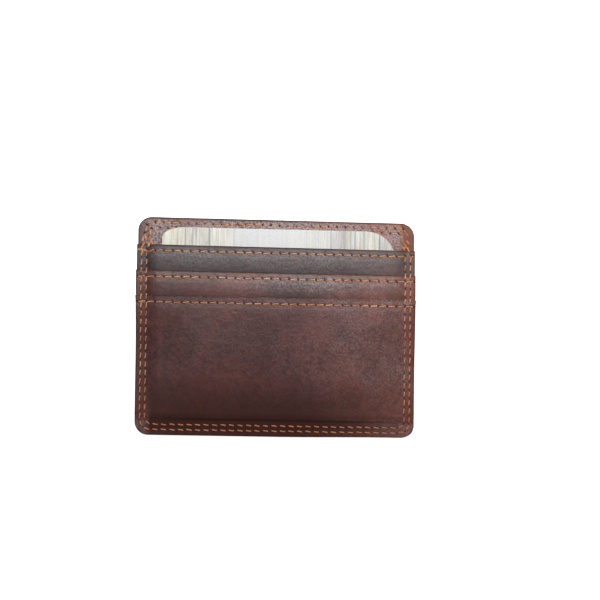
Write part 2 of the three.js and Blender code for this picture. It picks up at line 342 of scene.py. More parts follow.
ROWS = {}
for which, inset in SEAM.items():
    lock = strands(TACKS[which])
    ROWS[f"seam_{which}_needle"] = Row(seam_line(inset, SEAM_TOP), **EDGE_SEWING, spare=lock)
    ROWS[f"seam_{which}_bobbin"] = Row(seam_line(inset, BACK_SEAM_TOP), **BACK_EDGE_SEWING)
for which, (inset, half, low) in BAND.items():
    back_line = back_band_line(inset, half, BACK_BAND_LOW)
    ROWS[f"front_band_{which}"] = Row(band_line(inset, half, low), **BAND_SEWING)
    ROWS[f"back_band_{which}"] = Row(back_line, **BACK_BAND_SEWING)
first = strands([(x0, ROW_A + y0, x1, ROW_A + y1) for x0, y0, x1, y1 in ROW_A_FIRST])
ROWS["pocket_a_mouth"] = Row(mouth_line(ROW_A, ROW_A_START), **MOUTH_SEWING, spare=first)
ROWS["pocket_b_mouth"] = Row(mouth_line(ROW_B), **MOUTH_SEWING)
ROWS["pocket_c_mouth"] = Row(mouth_line(ROW_C), **MOUTH_SEWING)
ROWS["back_pocket_mouth"] = Row(mouth_line(ROW_BACK), **BACK_MOUTH_SEWING)


def near_row(row, x, y):
    """The distance from each point to the row's line."""
    nearest = np.full(x.shape, np.inf)
    for (x0, y0), (x1, y1) in zip(row.line[:-1], row.line[1:]):
        run = np.array([x1 - x0, y1 - y0])
        t = np.clip(((x - x0) * run[0] + (y - y0) * run[1]) / (run @ run), 0, 1)
        nearest = np.minimum(nearest, np.hypot(x - x0 - t * run[0], y - y0 - t * run[1]))
    return nearest


GROOVE = 0.02  # how deep a row presses into the leather
HOLE = 0.14  # and how much deeper its slits go
SLIT = (0.85, 0.30)  # the reach of a slit along and across
SLIT_FIELD = 1.6  # the distance at which a slit is no longer felt


def dents(x, y, rows):
    """How deep the rows press into a surface, and how much shade is painted in their holes."""
    depth, dark = np.zeros(x.shape), np.zeros(x.shape)
    for row in rows:
        depth += GROOVE * bell(near_row(row, x, y), 1.0)
        for hx, hy, c, s in row.holes():
            close = (np.abs(x - hx) < SLIT_FIELD) & (np.abs(y - hy) < SLIT_FIELD)
            if not close.any():
                continue
            dx, dy = x[close] - hx, y[close] - hy
            shape = bell(dx * c + dy * s, SLIT[0]) * bell(dy * c - dx * s, SLIT[1])
            depth[close] = np.maximum(depth[close], GROOVE + HOLE * shape * row.dark)
            # Painted shade in the slit.
            dark[close] = np.maximum(dark[close], shape * row.dark)
    return depth, dark


# ---- Levels of the layers, in unwarped millimetres ----


def beside(x):
    return smooth(SLOPE[0], SLOPE[1], np.abs(x))


def lift(x, y, foot=None):
    """From 0 on the sewn margin to 1 where a pocket layer passes over the card."""
    along = 1 if foot is None else smooth(foot[1], foot[0], y)
    return beside(x) * along


def drawn_in(x, y):
    """How far the walls of the cash pocket are drawn together, from 0 to PINCH."""
    free = smooth(FREE_SIDE[0], FREE_SIDE[1], np.abs(x)) * smooth(FREE_FOOT[0], FREE_FOOT[1], y)
    return PINCH * (1 - free)


def ripple(x, y):
    return RIPPLE * (1 + waves(x, y, 3, 34)) * beside(x)


def floor_level(x, y):
    return FLOOR - drawn_in(x, y)


def lining_a_low(x, y):
    return floor_level(x, y) + GAP + RISE * lift(x, y, FOOT_A) + ripple(x, y)


def strip_a_low(x, y):
    return floor_level(x, y) + GAP + CLOTH_STEP + RISE * lift(x, y) + ripple(x, y)


def over_a(x, y):
    past = smooth(END_A, END_A - SETTLE, y)
    return floor_level(x, y) + GAP + CLOTH_STEP + LEATHER_STEP * (1 - past) + ripple(x, y)


def lining_b_low(x, y):
    return over_a(x, y) + RISE * lift(x, y, FOOT_B)


def strip_b_low(x, y):
    return over_a(x, y) + CLOTH_STEP + RISE * lift(x, y)


def panel_c_low(x, y):
    """Panel C is sewn down at its margin and swells in one soft dome inside it."""
    past_strip = smooth(END_B, END_B - SETTLE, y)
    past_cloth = smooth(CLOTH_END, CLOTH_END - 3, y)
    stack = over_a(x, y) + CLOTH_STEP + LEATHER_STEP * (1 - past_strip)
    sewn = stack - 2 * CLOTH_STEP * past_cloth
    fallen = np.clip((DOME_TOP - y) / (DOME_TOP - FOOT_C[1]), 0, 1) ** 2
    crown = floor_level(x, y) + GAP + 2 * CLOTH_STEP + ripple(x, y)
    crown = crown + 2 * LEATHER_STEP * (1 - fallen)
    swell = np.maximum(crown - sewn, 0) * smooth(BROAD[0], BROAD[1], np.abs(x))
    return sewn + RISE * lift(x, y, FOOT_C) + swell * smooth(FOOT_C[1], CLOTH_END, y)


CROWN_A = (24.5, 0.005)  # each strip is highest at this Y and bends down to both sides
CROWN_B = (15.5, 0.009)
CROWN_REACH = 5  # the distance from the crown at which the bend ends
CROWN_SIDE = (51.5, 47.5)  # the half widths between which it starts


def bent(crown, x, y):
    away = np.clip(y - crown[0], -CROWN_REACH, CROWN_REACH)
    return crown[1] * away**2 * smooth(*CROWN_SIDE, np.abs(x))


def strip_a_top(x, y):
    return strip_a_low(x, y) + LEATHER - bent(CROWN_A, x, y)


def strip_b_top(x, y):
    return strip_b_low(x, y) + LEATHER - bent(CROWN_B, x, y)


def pressed_span(x):
    """1 along the pressed line and 0 past its ends."""
    return smooth(-42, -36, x) * smooth(45, 38, x)


def panel_c_top(x, y):
    """Panel C has a pressed line above its foot, and is held down at its mouth."""
    line = PRESSED[1] * bell(y - PRESSED[0], PRESSED[2])
    line = line - HOLLOW[1] * bell(y - HOLLOW[0], HOLLOW[2])
    held = HELD_DOWN * np.exp(-np.maximum(ROW_C - y, 0) / 3.5) * beside(x)
    return panel_c_low(x, y) + LEATHER + line * pressed_span(x) - held


def front_surface(x, y):
    """The height of the wallet's front."""
    z = floor_level(x, y)
    z = np.where(y <= MOUTH_A, strip_a_top(x, y), z)
    z = np.where(y <= MOUTH_B, strip_b_top(x, y), z)
    return np.where(y <= MOUTH_C, panel_c_top(x, y), z)


def back_surface(x, y):
    """The height of the wallet's back, which faces down."""
    on_panel = BACK_LOW[2] + drawn_in(x, y)
    return np.where(y <= MOUTH_BACK, POCKET_LOW[2] + drawn_in(x, y), on_panel)


# ---- Meshes ----


def new_object(name, vertices, faces, material, attributes):
    """A smooth mesh object from millimetres, riding on the wallet."""
    mesh = bpy.data.meshes.new(name)
    mesh.from_pydata((np.asarray(vertices) * MM).tolist(), [], np.asarray(faces).tolist())
    mesh.polygons.foreach_set("use_smooth", [True] * len(mesh.polygons))
    for key, values in attributes.items():
        layer = mesh.attributes.new(key, "FLOAT", "POINT")
        layer.data.foreach_set("value", np.asarray(values, np.float32).ravel())
    mesh.materials.append(material)
    mesh.update()
    obj = bpy.data.objects.new(name, mesh)
    bpy.context.scene.collection.objects.link(obj)
    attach(obj, "wallet")
    return obj


EDGE_STEPS = [0, 0.05, 0.13, 0.28, 0.5]  # the first positions in from an edge
FINE, COARSE = 0.24, 0.5  # the steps of a leather mesh
SIDE_BAND = 7  # how wide its fine columns are at both sides
MOUTH_BAND = 4  # how tall its fine rows are below a mouth
FOOT_BAND = 8  # and above panel C's foot
BACK_FOOT_BAND = 7
RIM_WIDTH = 0.62  # how far in the burnished colour reaches

# Where the leather is paler, to the right, and where it is warmer, as positions between which it
# begins.
PALER_RIGHT_FROM = (5, 46)  # in X
WARM_SIDES = (46.5, 48.5)  # in the half width
WARM_LIP = (2.6, 1.4)  # in the distance below a mouth
WARM_LIP_FROM = (-20, 30)  # in X


def ruled(low, high, fine_spans, coarse):
    """Positions from low to high, closer together at both ends and inside fine_spans."""
    found = [low + step for step in EDGE_STEPS]
    stop = high - EDGE_STEPS[-1]
    while found[-1] < stop - 1e-6:
        here = found[-1]
        close = any(a - coarse < here < b for a, b in fine_spans)
        step = FINE if close else coarse
        found.append(stop if here + 1.5 * step > stop else here + step)
    return np.array(found + [high - step for step in reversed(EDGE_STEPS[:-1])])


def rounding(distance, radius):
    """How far a surface falls away at a distance inside a rounded edge."""
    short = radius - np.clip(distance, 0, radius)
    return radius - np.sqrt(np.maximum(radius**2 - short**2, 0))


def slab(
    name, outline, fine_rows, levels, material, radius=EDGE_RADIUS, coarse=COARSE, bloom=None
):
    """A closed sheet between two levels, with rounded edges. levels(x, y) gives the low and
    high level and the painted darkness at every point, most of it painted shade; bloom(x, y) is
    how pale its waxy bloom and painted sheen make it."""
    half = outline.half
    sides = [(-half, -half + SIDE_BAND), (half - SIDE_BAND, half)]
    columns = ruled(-half, half, sides, coarse)
    lines = ruled(outline.low, outline.high, fine_rows, coarse)
    x, y = np.meshgrid(columns, lines)
    x = x * outline.extent(y) / half
    low, high, dark = levels(x, y)
    inside = outline.inside(x, y)
    fall = rounding(inside, radius)
    count = x.size
    top = np.stack([x, y, high - fall], -1).reshape(-1, 3)
    under = np.stack([x, y, low + fall], -1).reshape(-1, 3)
    index = np.arange(count).reshape(x.shape)
    a, b = index[:-1, :-1].ravel(), index[:-1, 1:].ravel()
    c, d = index[1:, 1:].ravel(), index[1:, :-1].ravel()
    border = np.concatenate(
        [index[0, :-1], index[:-1, -1], index[-1, :0:-1], index[:0:-1, 0]]
    )
    ahead = np.roll(border, -1)
    faces = np.concatenate(
        [
            np.stack([a, b, c, d], 1),
            np.stack([a, d, c, b], 1) + count,
            np.stack([border + count, ahead + count, ahead, border], 1),
        ]
    )
    below_lip = outline.high - y
    at_lip = smooth(*WARM_LIP, below_lip) * smooth(*WARM_LIP_FROM, x)
    values = {
        "edge": bell(inside, RIM_WIDTH),
        # Painted darkness: shade in the holes and on lower panel C, and the darker right side of
        # the front panel.
        "hole": dark,
        # How pale the waxy bloom and painted sheen make it.
        "bloom": np.zeros(x.shape) if bloom is None else bloom(x, y),
        # Paler towards the right.
        "wear": smooth(*PALER_RIGHT_FROM, x),
        "warm": np.maximum(smooth(*WARM_SIDES, np.abs(x)), at_lip),
    }
    attributes = {key: np.tile(value.ravel(), 2) for key, value in values.items()}
    points = warp(np.concatenate([top, under]))
    return new_object(name, points, faces, material, attributes)


def taut(along, heights):
    """The heights of a thread pulled tight over a surface."""
    hull = [0]
    for i in range(1, len(along)):
        while len(hull) > 1:
            p, q = hull[-2], hull[-1]
            rise_q = (heights[q] - heights[p]) * (along[i] - along[p])
            rise_i = (heights[i] - heights[p]) * (along[q] - along[p])
            if rise_q > rise_i:
                break
            hull.pop()
        hull.append(i)
    return np.interp(along, along[hull], heights[hull])


RINGS, SIDES = 15, 10
PLIES, TWIST = 3, 1.15  # TWIST is the length of one turn, in mm
PLY_DEPTH = 0.13  # the plies' relief, as a share of the radius
TAPER = 0.12  # how much thinner the ends are, as a share of the radius
TAPER_REACH = 0.6
CROWDED = 0.06  # how much closer together the rings are at both ends
SWAY = 0.04  # how far a stitch bows aside
SCATTER = 0.03  # how far its ends stray
PLAIN = {"radius": THREAD_RADIUS, "dip": 0.5, "reach": 0.5}
LOCKED = {"radius": 1.45 * THREAD_RADIUS, "dip": 0.3, "reach": 0.3}
LOCK_SINK = -0.12  # a lock stitch lies on top of the others


def stitch(start, end, surface, facing, sink, radius, dip, reach):
    """Points of one stitch: a twisted thread that dips into the leather at both ends. sink is
    how deep it lies, dip how much deeper its ends go, and reach the length over which they do."""
    length = np.linalg.norm(end - start)
    t = np.linspace(0, 1, RINGS)
    t = t - CROWDED * np.sin(2 * math.pi * t)
    flat = start + (end - start) * t[:, None]
    level = surface(flat[:, 0], flat[:, 1]) * facing
    level = taut(t * length, level)
    near_end = np.minimum(t, 1 - t) * length
    z = (level - sink - dip * (1 - smooth(0, reach, near_end))) * facing
    ahead = (end - start) / length
    side = np.array([-ahead[1], ahead[0]])
    around = np.linspace(0, 2 * math.pi, SIDES, endpoint=False)
    ply = np.cos(PLIES * (around[None, :] + 2 * math.pi * t[:, None] * length / TWIST))
    thinner = (1 - TAPER * (1 - smooth(0, TAPER_REACH, near_end)))[:, None]
    swell = radius * (1 + PLY_DEPTH * ply) * thinner
    sway = SWAY * rng.normal() * np.sin(math.pi * t)
    points = np.empty((RINGS, SIDES, 3))
    out = np.cos(around)[None, :] * swell + sway[:, None]
    points[..., 0] = flat[:, 0, None] + side[0] * out
    points[..., 1] = flat[:, 1, None] + side[1] * out
    points[..., 2] = z[:, None] + np.sin(around)[None, :] * swell
    return points.reshape(-1, 3), ply.ravel()


def stitch_faces():
    """The faces of one stitch, with both ends closed."""
    faces = []
    for r in range(RINGS - 1):
        for k in range(SIDES):
            here, near = r * SIDES + k, r * SIDES + (k + 1) % SIDES
            faces.append((here, near, near + SIDES, here + SIDES))
    last = (RINGS - 1) * SIDES
    for k in range(1, SIDES // 2):
        faces.append((k - 1, SIDES - k, SIDES - 1 - k, k))
        faces.append((last + k - 1, last + k, last + SIDES - 1 - k, last + SIDES - k))
    return np.array(faces)


def thread_row(name, row, surface, facing, sink, material):
    """All the stitches of a row as one object."""
    one = stitch_faces()
    points, plies, faces = [], [], []
    regular = row.stitches()
    for i, (start, end) in enumerate(regular + row.spare):
        start = start + rng.normal(0, SCATTER, 2)
        end = end + rng.normal(0, SCATTER, 2)
        if end[0] < start[0]:
            start, end = end, start
        if i < len(regular):
            vertices, ply = stitch(start, end, surface, facing, sink, **PLAIN)
        else:
            vertices, ply = stitch(start, end, surface, facing, LOCK_SINK, **LOCKED)
        faces.append(one + len(points) * len(vertices))
        points.append(vertices)
        plies.append(ply)
    vertices = warp(np.concatenate(points))
    return new_object(
        name, vertices, np.concatenate(faces), material, {"ply": np.concatenate(plies)}
    )


# ---- Materials ----

# Colours are 0 to 255, as on a screen.
BURNISHED = (70, 38, 28)
# Pale waxy bloom, mixed in also as a painted sheen.
WAX_SHEEN = (150, 135, 135)
# The colour of painted shade in the holes and on lower panel C, and of the front panel's darker
# right side.
SHADE_AND_DARK_COLOUR = (58, 26, 17)
PALER_RIGHT = (1.95, 1.95, 1.6, 1)  # times the leather's colour towards the right
WARM = (1.08, 1.0, 0.86, 1)
THREAD_DARK, THREAD_LIGHT = (178, 111, 70), (222, 160, 114)
# The thread's colour with painted shade at the foot.
THREAD_SHADED_AT_FOOT = (210, 132, 92)
CLOTH_BROWN = (74, 55, 44)
CREAM_WARM, CREAM_COOL = (232, 230, 214), (212, 214, 214)
GREY_COOL, GREY_WARM = (164, 158, 156), (198, 190, 172)
PLANK_SEAM = (118, 122, 138)
# The colour of the painted glare on the card.
GLARE = (216, 218, 217)

# In metres, as materials see the object.
PLANK = 0.0089  # the width of a printed plank
PLANK_START = -0.0335
GLARE_ENDS = (0.009, 0.025)  # the half widths between which the card's painted glare fades
FOOT_SHADE = (-0.015, -0.034)  # the Y between which the thread takes its painted shade at the foot

LEATHER_ROUGHNESS = 0.36
DULL_ROUGHNESS = 0.8  # of burnished edges and holes
DULL_SHINE = 0.25


def node_material(name, roughness, specular):
    """A new material with its shader, and a function that adds a node to it."""
    material = bpy.data.materials.new(name)
    material.use_nodes = True
    tree = material.node_tree
    shader = tree.nodes["Principled BSDF"]
    shader.inputs["Roughness"].default_value = roughness
    shader.inputs["Specular IOR Level"].default_value = specular

    def add(kind, settings=None, **inputs):
        node = tree.nodes.new(f"ShaderNode{kind}")
        for key, value in (settings or {}).items():
            setattr(node, key, value)
        for key, value in inputs.items():
            socket = node.inputs[int(key[1:])] if key[0] == "_" else node.inputs[key]
            if isinstance(value, bpy.types.NodeSocket):
                tree.links.new(value, socket)
            else:
                socket.default_value = value
        return node

    return material, tree, shader, add


def linear(r, g, b):
    """A colour given in 0 to 255 as on a screen."""
    def one(v):
        v /= 255
        return v / 12.92 if v <= 0.04045 else ((v + 0.055) / 1.055) ** 2.4

    return (one(r), one(g), one(b), 1)


def noise(add, place, scale, detail, rough):
    node = add("TexNoise", None, Vector=place, Scale=scale, Detail=detail, Roughness=rough)
    return node.outputs["Fac"]


def spread(add, value, low, high, to_low=0.0, to_high=1.0):
    """value from low..high to to_low..to_high, held at both ends."""
    node = add("MapRange", None, Value=value)
    node.inputs["From Min"].default_value = low
    node.inputs["From Max"].default_value = high
    node.inputs["To Min"].default_value = to_low
    node.inputs["To Max"].default_value = to_high
    return node.outputs["Result"]


def mix(add, factor, first, second, blend="MIX"):
    node = add("Mix", {"data_type": "RGBA", "blend_type": blend})
    tree = node.id_data
    for index, value in ((0, factor), (6, first), (7, second)):
        if isinstance(value, bpy.types.NodeSocket):
            tree.links.new(value, node.inputs[index])
        else:
            node.inputs[index].default_value = value
    return node.outputs[2]


def multiply(add, first, second):
    return mix(add, 1.0, first, second, "MULTIPLY")


def object_place(add, offset=(0, 0, 0)):
    coordinates = add("TexCoord").outputs["Object"]
    node = add("Mapping", None, Vector=coordinates)
    node.inputs["Location"].default_value = offset
    return node.outputs["Vector"]


def attribute(add, name):
    return add("Attribute", {"attribute_name": name}).outputs["Fac"]


def leather_material(name, dark, light, edge, offset, shine=0.8):
    """Oiled pull-up leather: cloudy colour, pale flecks of waxy bloom and painted sheen, painted
    shade in the holes and lower down, fine grain, burnished edges.
    """
    material, tree, shader, add = node_material(name, LEATHER_ROUGHNESS, shine)
    place = object_place(add, offset)
    clouds = spread(add, noise(add, place, 42, 5, 0.6), 0.38, 0.64)
    base = mix(add, clouds, linear(*dark), linear(*light))
    rim = spread(add, attribute(add, "edge"), 0.3, 0.85, 0, 0.9)
    base = mix(add, rim, base, linear(*edge))
    # Paler towards the right.
    base = mix(add, attribute(add, "wear"), base, multiply(add, base, PALER_RIGHT))
    base = mix(add, attribute(add, "warm"), base, multiply(add, base, WARM))
    mottle = spread(add, noise(add, place, 340, 4, 0.7), 0.36, 0.64, 0.72, 1.3)
    base = multiply(add, base, mottle)
    patches = spread(add, noise(add, place, 110, 3, 0.6), 0.34, 0.66, 0.7, 1.3)
    flecks = spread(add, noise(add, place, 1500, 2, 0.6), 0.42, 0.62, 0.25, 2.2)
    uneven = add("Math", {"operation": "MULTIPLY"}, _0=patches, _1=flecks)
    # How pale the waxy bloom and painted sheen make the leather, in patches and flecks.
    pale = add(
        "Math", {"operation": "MULTIPLY", "use_clamp": True},
        _0=attribute(add, "bloom"), _1=uneven.outputs[0],
    )
    base = mix(add, pale.outputs[0], base, linear(*WAX_SHEEN))
    # Painted shade in the holes and on lower panel C, and the front panel's darker right side.
    hole = spread(add, attribute(add, "hole"), 0.12, 0.62, 0, 0.95)
    base = mix(add, hole, base, linear(*SHADE_AND_DARK_COLOUR))
    tree.links.new(base, shader.inputs["Base Color"])
    dull = add("Math", {"operation": "MAXIMUM"}, _0=hole, _1=rim)
    rough = spread(add, dull.outputs[0], 0, 1, LEATHER_ROUGHNESS, DULL_ROUGHNESS)
    tree.links.new(rough, shader.inputs["Roughness"])
    specular = spread(add, dull.outputs[0], 0, 0.9, shine, DULL_SHINE)
    tree.links.new(specular, shader.inputs["Specular IOR Level"])
    grain = noise(add, place, 620, 4, 0.6)
    bump = add("Bump", None, Height=grain, Strength=0.6, Distance=0.0002)
    tree.links.new(bump.outputs["Normal"], shader.inputs["Normal"])
    return material


def thread_material():
    """Waxed sewing thread, with painted shade in the grooves between its plies and a redder
    painted shade at the foot.
    """
    material, tree, shader, add = node_material("tan_thread", 0.6, 0.35)
    place = object_place(add)
    wear = spread(add, noise(add, place, 300, 2, 0.5), 0.35, 0.65)
    base = mix(add, wear, linear(*THREAD_DARK), linear(*THREAD_LIGHT))
    split = add("SeparateXYZ", None, Vector=place)
    # A redder painted shade on the thread at the foot.
    low = spread(add, split.outputs["Y"], *FOOT_SHADE)
    base = mix(add, low, base, linear(*THREAD_SHADED_AT_FOOT))
    # Painted shade in the grooves between the plies.
    ply_shade = spread(add, attribute(add, "ply"), -1, 0.4, 0.6, 1.0)
    base = multiply(add, base, ply_shade)
    tree.links.new(base, shader.inputs["Base Color"])
    fibres = noise(add, place, 4000, 3, 0.6)
    bump = add("Bump", None, Height=fibres, Strength=0.3, Distance=0.00005)
    tree.links.new(bump.outputs["Normal"], shader.inputs["Normal"])
    return material


def cloth_material():
    """Plain woven lining."""
    material, tree, shader, add = node_material("brown_lining_cloth", 0.85, 0.25)
    place = object_place(add)
    bands = []
    for direction in ("X", "Y"):
        wave = add(
            "TexWave", {"bands_direction": direction}, Vector=place, Scale=450.0, Distortion=0.4
        )
        bands.append(wave.outputs["Fac"])
    weave = add("Math", {"operation": "MAXIMUM"}, _0=bands[0], _1=bands[1]).outputs[0]
    shade = spread(add, weave, 0.2, 1.0, 0.55, 1.1)
    base = multiply(add, linear(*CLOTH_BROWN), shade)
    tree.links.new(base, shader.inputs["Base Color"])
    bump = add("Bump", None, Height=weave, Strength=0.5, Distance=0.0001)
    tree.links.new(bump.outputs["Normal"], shader.inputs["Normal"])
    return material


def card_material():
    """A pale plank print under clear plastic, with a painted glare in the middle."""
    material, tree, shader, add = node_material("plank_card", 0.32, 0.5)
    place = object_place(add)
    split = add("SeparateXYZ", None, Vector=place)
    from_seam = add("Math", {"operation": "SUBTRACT"}, _0=split.outputs["X"], _1=PLANK_START)
    plank = add("Math", {"operation": "DIVIDE"}, _0=from_seam.outputs[0], _1=PLANK).outputs[0]
    cell = add("Math", {"operation": "FLOOR"}, _0=plank).outputs[0]
    part = add("Math", {"operation": "FRACT"}, _0=plank).outputs[0]
    tone = add("TexWhiteNoise", {"noise_dimensions": "1D"}, W=cell).outputs["Value"]
    streaks_at = add("Mapping", None, Vector=place)
    streaks_at.inputs["Scale"].default_value = (1, 0.05, 1)
    streaks = spread(add, noise(add, streaks_at.outputs[0], 1500, 4, 0.7), 0.36, 0.64)
    broad = spread(add, noise(add, streaks_at.outputs[0], 400, 2, 0.5), 0.38, 0.62)
    cream = mix(add, tone, linear(*CREAM_WARM), linear(*CREAM_COOL))
    grey = mix(add, broad, linear(*GREY_COOL), linear(*GREY_WARM))
    wood = mix(add, streaks, grey, cream)
    seam = spread(add, part, 0.0, 0.07, 0.85, 0.0)
    wood = mix(add, seam, wood, linear(*PLANK_SEAM))
    aside = add("Math", {"operation": "ABSOLUTE"}, _0=split.outputs["X"]).outputs[0]
    # Painted glare in the middle.
    glare = spread(add, aside, *GLARE_ENDS, 0.82, 0.0)
    wood = mix(add, glare, wood, linear(*GLARE))
    dots = spread(add, noise(add, place, 1700, 2, 0.6), 0.4, 0.75, 1.0, 0.86)
    wood = multiply(add, wood, dots)
    tree.links.new(wood, shader.inputs["Base Color"])
    return material


def plain_floor_material():
    material, _, shader, _ = node_material("pale_floor", 0.9, 0.1)
    shader.inputs["Base Color"].default_value = (0.95, 0.95, 0.95, 1)
    shader.inputs["Emission Color"].default_value = (1, 1, 1, 1)
    shader.inputs["Emission Strength"].default_value = 0.95
    return material


# ---- Pieces ----

# Each leather's dark and light colour, the colour of its edges, and its place in the pattern.
LEATHERS = {
    "base": ((74, 38, 33), (88, 46, 39), (78, 39, 27), (0.3, 0.1, 0), 0.55),
    "a": ((43, 28, 29), (55, 33, 34), (60, 35, 29), (0.1, 0.5, 0)),
    "b": ((60, 31, 29), (94, 50, 43), (64, 34, 26), (0.7, 0.2, 0)),
    "c": ((66, 32, 30), (84, 41, 36), (42, 25, 23), (0.2, 0.9, 0)),
    "back": ((60, 30, 28), (86, 43, 37), BURNISHED, (0.5, 0.6, 0)),
}
leather = {key: leather_material(f"leather_{key}", *look) for key, look in LEATHERS.items()}
thread = thread_material()
cloth = cloth_material()


def cover(node):
    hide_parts(node)


def sheet_piece(node, outline, fine_rows, levels, material, slot, rests_on, **more):
    piece = slab(f"{node}_sewn", outline, fine_rows, levels, material, **more)
    cover(node)


def panel_outline(low, high, low_radius, high_radius):
    return Outline(high[0], low[1], high[1], low_radius, high_radius)


TOP_BAND = [(28, 40)]  # the Y of the fine rows that the top rows of stitches need
HIDDEN_STEP = 0.8  # the mesh step of panels that are mostly hidden
CLOTH_STEPS = (1.2, 1.0)  # the mesh steps of the cash pocket's walls and of the strips' linings
UNEVEN = 0.02  # how much the leather's surface waves, in mm
UNEVEN_BASE = 0.03


# How pale the waxy bloom and painted sheen make each piece, from 0 to 1: everywhere, and at its
# palest place.
WAX_SHEEN_BASE = (0.5, 0.34)
WAX_SHEEN_A = (0.02, 0.07)
WAX_SHEEN_B = (0.02, 0.19)
WAX_SHEEN_C = (0.045, 0.115)
# What else makes panel C paler, how much fainter it is below its row, how much painted shade
# darkens panel C, and how much darker the front panel's right side is.
WAX_SHEEN_C_MOUTH = 0.07
WAX_SHEEN_C_LINE = 0.22
WAX_SHEEN_C_CORNERS = 0.19
FAINTER_C = 0.05
SHADE_C = 0.49
SHADE_C_FOOT = 0.17
SHADE_C_EDGE = 0.07
DARKER_RIGHT = 0.25


def wax_sheen_base(x, y):
    """Waxy bloom and painted sheen, except along the burnished edge and round the stitches at the
    right corner.
    """
    inside = smooth(TOP - 0.3, TOP - 1.3, y) * smooth(-51.5, -44, x) * smooth(48.0, 45.0, x)
    return (WAX_SHEEN_BASE[0] + WAX_SHEEN_BASE[1] * bell(x - 5, 24) - 0.15 * smooth(25, 46, x)) * inside


def build_front_panel():
    rows = [ROWS["front_band_outer"], ROWS["front_band_inner"]]

    def levels(x, y):
        low = FRONT_LOW[2] - drawn_in(x, y)
        depth, dark = dents(x, y, rows)
        # Darker and duller towards the right side.
        darker_right = DARKER_RIGHT * smooth(44.5, 47, x)
        top = low + LEATHER - depth + UNEVEN_BASE * waves(x, y, 5, 20)
        return low, top, np.maximum(dark, darker_right)

    outline = panel_outline(FRONT_LOW, FRONT_HIGH, CORNER, CORNER)
    sheet_piece(
        "front_panel", outline, TOP_BAND, levels, leather["base"], "leather",
        ["front_lining_sewn"], coarse=HIDDEN_STEP, bloom=wax_sheen_base,
    )


def build_strip(node, low_level, top_level, low, high, rows, material, bloom):
    def levels(x, y):
        depth, dark = dents(x, y, rows)
        return low_level(x, y), top_level(x, y) - depth + UNEVEN * waves(x, y, 8, 12), dark

    outline = panel_outline(low, high, SQUARE, SQUARE)
    fine = [(high[1] - MOUTH_BAND, high[1])]
    sheet_piece(
        node, outline, fine, levels, material, "leather", ["front_panel_sewn"], bloom=bloom
    )


def between_seams(x):
    """1 between the edge rows and 0 on the sewn margins."""
    return smooth(49, 45, np.abs(x))


# Waxy bloom and painted sheen on strip A.
def wax_sheen_a(x, y):
    """Palest just below the stitches, in the middle."""
    below = smooth(MOUTH_B - 0.5, ROW_A - 1.5, y) * smooth(MOUTH_A, ROW_A, y)
    pale = (WAX_SHEEN_A[0] + WAX_SHEEN_A[1] * below) * (1 + 0.7 * bell(x - 14, 14))
    return pale * between_seams(x)


# Waxy bloom and painted sheen on strip B.
def wax_sheen_b(x, y):
    """As on the strip above, but fainter towards the right."""
    below = smooth(MOUTH_C - 0.5, ROW_B - 2.0, y) * smooth(MOUTH_B, ROW_B, y)
    fainter = 1 - 0.45 * smooth(22, 42, x)
    pale = (WAX_SHEEN_B[0] + WAX_SHEEN_B[1] * below * smooth(-40, 10, x)) * (1 + 0.3 * bell(x - 14, 12))
    return pale * between_seams(x) * fainter


# Waxy bloom and painted sheen on panel C.
def wax_sheen_c(x, y):
    """Paler to the right, at the mouth, along the pressed line and in the lower corners."""
    across = WAX_SHEEN_C[0] + WAX_SHEEN_C[1] * smooth(-5, 38, x) * smooth(50.5, 48, np.abs(x))
    below_row = smooth(-8, 5, y) * smooth(ROW_C + 1, ROW_C - 1, y)
    fainter = FAINTER_C * below_row * bell(x - 5, 28)
    mouth = WAX_SHEEN_C_MOUTH * smooth(ROW_C, ROW_C + 1, y) * smooth(-50, 0, x)
    line = WAX_SHEEN_C_LINE * bell(y - PRESSED[0], PRESSED[2]) * pressed_span(x)
    corners = WAX_SHEEN_C_CORNERS * smooth(32, 42, np.abs(x)) * smooth(-30, -36, y)
    return across * smooth(-42, -14, y) - fainter + mouth + line + corners


def painted_shade_c(x, y):
    """Painted shade: how much darker the lower part is, most of all at the left and along the
    foot.
    """
    lower = SHADE_C * smooth(-12, -30, y) * smooth(75, 5, x)
    foot = SHADE_C_FOOT * bell(y + 35, 2.2)
    return (lower + foot) * between_seams(x) + SHADE_C_EDGE * smooth(-35, -37, y)


def build_panel_c(edge_rows):
    def levels(x, y):
        depth, dark = dents(x, y, [ROWS["pocket_c_mouth"]] + edge_rows)
        top = panel_c_top(x, y) - depth + UNEVEN * waves(x, y, 12, 14)
        # Painted shade low on the panel, together with the shade in the holes.
        return panel_c_low(x, y), top, np.maximum(dark, painted_shade_c(x, y))

    outline = panel_outline(PANEL_C_LOW, PANEL_C_HIGH, CORNER, SQUARE)
    fine = [(MOUTH_C - MOUTH_BAND, MOUTH_C), (BOTTOM, BOTTOM + FOOT_BAND)]
    sheet_piece(
        "pocket_c_panel", outline, fine, levels, leather["c"], "leather",
        ["pocket_b_strip_sewn", "front_panel_sewn"], bloom=wax_sheen_c,
    )


